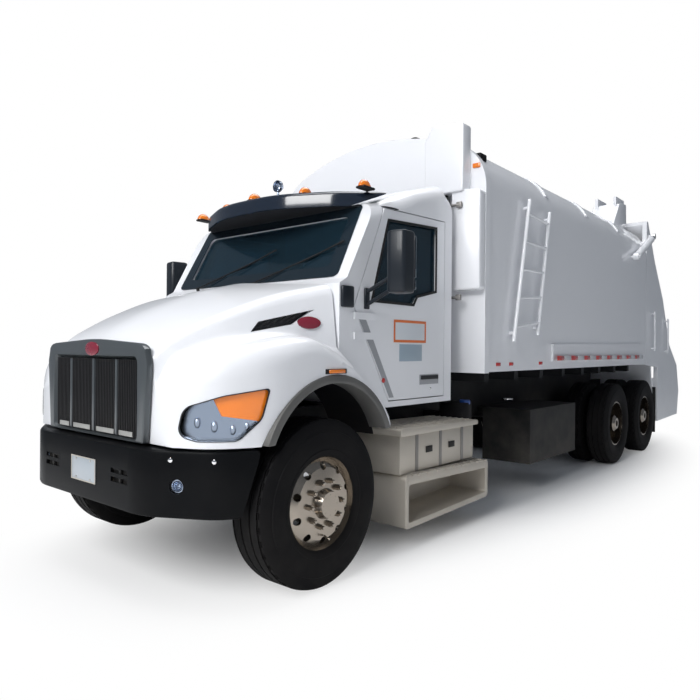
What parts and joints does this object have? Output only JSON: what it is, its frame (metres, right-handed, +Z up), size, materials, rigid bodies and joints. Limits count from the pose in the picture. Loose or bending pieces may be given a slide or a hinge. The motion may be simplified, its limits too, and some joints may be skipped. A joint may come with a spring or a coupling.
{
  "type": "rear-loading garbage truck",
  "caption": "White rear-loading refuse truck with a conventional hood and cab, hollow load body, lifting tailgate with a packer, tandem rear axles and opening doors",
  "frame": {"origin": "on the ground under the middle of the truck's length and width", "axes": "+X forward, +Y to the driver's (left) side, +Z up"},
  "size_m": [10.05, 2.78, 3.76],
  "materials": {
    "white_paint": "gloss white paint",
    "frame_black": "satin black chassis paint",
    "bumper_black": "semi-gloss black bumper",
    "engine_grey": "dark grey casting",
    "tinted_glass": "blue-green tinted glass",
    "visor_tint": "dark blue-black smoked acrylic",
    "cab_trim": "dark grained cab trim",
    "seat_fabric": "dark grey seat cloth",
    "bright_aluminium": "bright aluminium, slightly dulled",
    "tank_black": "black moulded tank",
    "grille_grey": "dark grey grille surround",
    "grille_chrome": "dark grille bars",
    "lamp_clear": "clear lamp cover with amber corner",
    "mirror_black": "black mirror housing",
    "worn_steel": "scraped steel",
    "rod_chrome": "chromed rod",
    "tyre_rubber": "black tyre rubber",
    "rim_aluminium": "polished aluminium disc wheel"
  },
  "bodies": {
    "chassis": {"chassis_frame": "frame_black", "front_axle": "frame_black", "front_springs": "frame_black", "rear_axles": "frame_black", "rear_suspension": "frame_black", "drive_shaft": "frame_black", "engine_block": "engine_grey", "transmission": "engine_grey", "radiator": "engine_grey", "bumper": "bumper_black", "cab_shell": "white_paint", "cab_glass": "tinted_glass", "sun_visor": "visor_tint", "dashboard": "cab_trim", "seats": "seat_fabric", "steering_wheel": "cab_trim", "battery_steps": "bright_aluminium", "fuel_tank": "bright_aluminium", "hydraulic_tank": "frame_black", "fluid_tank": "tank_black", "air_tank": "frame_black", "body_shell": "white_paint", "body_subframe": "frame_black", "body_ledges": "white_paint", "body_ladder": "white_paint", "front_towers": "white_paint"},
    "hood": {"hood_shell": "white_paint", "grille_surround": "grille_grey", "grille_bars": "grille_chrome", "headlamps": "lamp_clear"},
    "door_left": {"door_left": "white_paint", "door_glass_left": "tinted_glass", "mirror_left": "mirror_black"},
    "door_right": {"door_right": "white_paint", "door_glass_right": "tinted_glass", "mirror_right": "mirror_black"},
    "knuckle_left": {"steering_knuckle_left": "frame_black"},
    "knuckle_right": {"steering_knuckle_right": "frame_black"},
    "tie_rod": {"tie_rod": "frame_black"},
    "front_wheel_left": {"front_tyre_left": "tyre_rubber", "front_rim_left": "rim_aluminium"},
    "front_wheel_right": {"front_tyre_right": "tyre_rubber", "front_rim_right": "rim_aluminium"},
    "mid_wheels_left": {"mid_tyres_left": "tyre_rubber", "mid_rims_left": "rim_aluminium"},
    "mid_wheels_right": {"mid_tyres_right": "tyre_rubber", "mid_rims_right": "rim_aluminium"},
    "rear_wheels_left": {"rear_tyres_left": "tyre_rubber", "rear_rims_left": "rim_aluminium"},
    "rear_wheels_right": {"rear_tyres_right": "tyre_rubber", "rear_rims_right": "rim_aluminium"},
    "ejector": {"ejector_panel": "worn_steel"},
    "tailgate": {"tailgate_shell": "white_paint"},
    "packer_carriage": {"packer_carriage": "worn_steel"},
    "packer_blade": {"packer_blade": "worn_steel"},
    "lift_barrels": {"lift_barrels": "white_paint"},
    "lift_rods": {"lift_rods": "rod_chrome"}
  },
  "joints": [
    {"name": "steer_left", "type": "hinge", "parent": "chassis", "child": "knuckle_left", "pos_m": [4.065, 0.93, 0.53], "axis": [0, 0, 1], "range_deg": [-35, 35]},
    {"name": "steer_right", "type": "hinge", "parent": "chassis", "child": "knuckle_right", "pos_m": [4.065, -0.93, 0.53], "axis": [0, 0, 1], "range_deg": [-35, 35]},
    {"name": "tie_rod_pivot", "type": "hinge", "parent": "knuckle_left", "child": "tie_rod", "pos_m": [3.875, 0.93, 0.4], "axis": [0, 0, 1], "range_deg": [-35, 35]},
    {"name": "front_wheel_left_spin", "type": "hinge", "parent": "knuckle_left", "child": "front_wheel_left", "pos_m": [4.065, 1.04, 0.53], "axis": [0, 1, 0], "continuous": true},
    {"name": "front_wheel_right_spin", "type": "hinge", "parent": "knuckle_right", "child": "front_wheel_right", "pos_m": [4.065, -1.04, 0.53], "axis": [0, 1, 0], "continuous": true},
    {"name": "mid_wheels_left_spin", "type": "hinge", "parent": "chassis", "child": "mid_wheels_left", "pos_m": [-1.685, 0.925, 0.53], "axis": [0, 1, 0], "continuous": true},
    {"name": "mid_wheels_right_spin", "type": "hinge", "parent": "chassis", "child": "mid_wheels_right", "pos_m": [-1.685, -0.925, 0.53], "axis": [0, 1, 0], "continuous": true},
    {"name": "rear_wheels_left_spin", "type": "hinge", "parent": "chassis", "child": "rear_wheels_left", "pos_m": [-3.025, 0.925, 0.53], "axis": [0, 1, 0], "continuous": true},
    {"name": "rear_wheels_right_spin", "type": "hinge", "parent": "chassis", "child": "rear_wheels_right", "pos_m": [-3.025, -0.925, 0.53], "axis": [0, 1, 0], "continuous": true},
    {"name": "hood_tilt", "type": "hinge", "parent": "chassis", "child": "hood", "pos_m": [4.955, 0, 0.945], "axis": [0, 1, 0], "range_deg": [0, 60]},
    {"name": "door_left_swing", "type": "hinge", "parent": "chassis", "child": "door_left", "pos_m": [3.615, 1.03, 1.5], "axis": [0, 0, -1], "range_deg": [0, 70]},
    {"name": "door_right_swing", "type": "hinge", "parent": "chassis", "child": "door_right", "pos_m": [3.615, -1.03, 1.5], "axis": [0, 0, 1], "range_deg": [0, 70]},
    {"name": "ejector_slide", "type": "slide", "parent": "chassis", "child": "ejector", "axis": [-1, 0, 0], "range_m": [0, 4]},
    {"name": "tailgate_lift", "type": "hinge", "parent": "chassis", "child": "tailgate", "pos_m": [-2.875, 0, 3.6], "axis": [0, 1, 0], "range_deg": [0, 75]},
    {"name": "packer_slide", "type": "slide", "parent": "tailgate", "child": "packer_carriage", "axis": [-0.6157, 0, -0.788], "range_m": [0, 0.9]},
    {"name": "packer_swing", "type": "hinge", "parent": "packer_carriage", "child": "packer_blade", "pos_m": [-3.70091, 0, 1.96921], "axis": [0, 1, 0], "range_deg": [0, 95]},
    {"name": "lift_barrel_pivot", "type": "hinge", "parent": "chassis", "child": "lift_barrels", "pos_m": [-2.175, 0, 2.8], "axis": [0, 1, 0], "range_deg": [0, 12.59]},
    {"name": "lift_rod_slide", "type": "slide", "parent": "lift_barrels", "child": "lift_rods", "axis": [-0.9067, 0, 0.4217], "range_m": [0, 0.4694]}
  ],
  "couplings": [
    {"joint": "steer_right", "follows": "steer_left", "ratio": 1},
    {"joint": "tie_rod_pivot", "follows": "steer_left", "ratio": -1},
    {"joint": "lift_barrel_pivot", "follows": "tailgate_lift", "ratio": 0.16126},
    {"joint": "lift_rod_slide", "follows": "tailgate_lift", "m_per_rad": 0.35475}
  ]
}
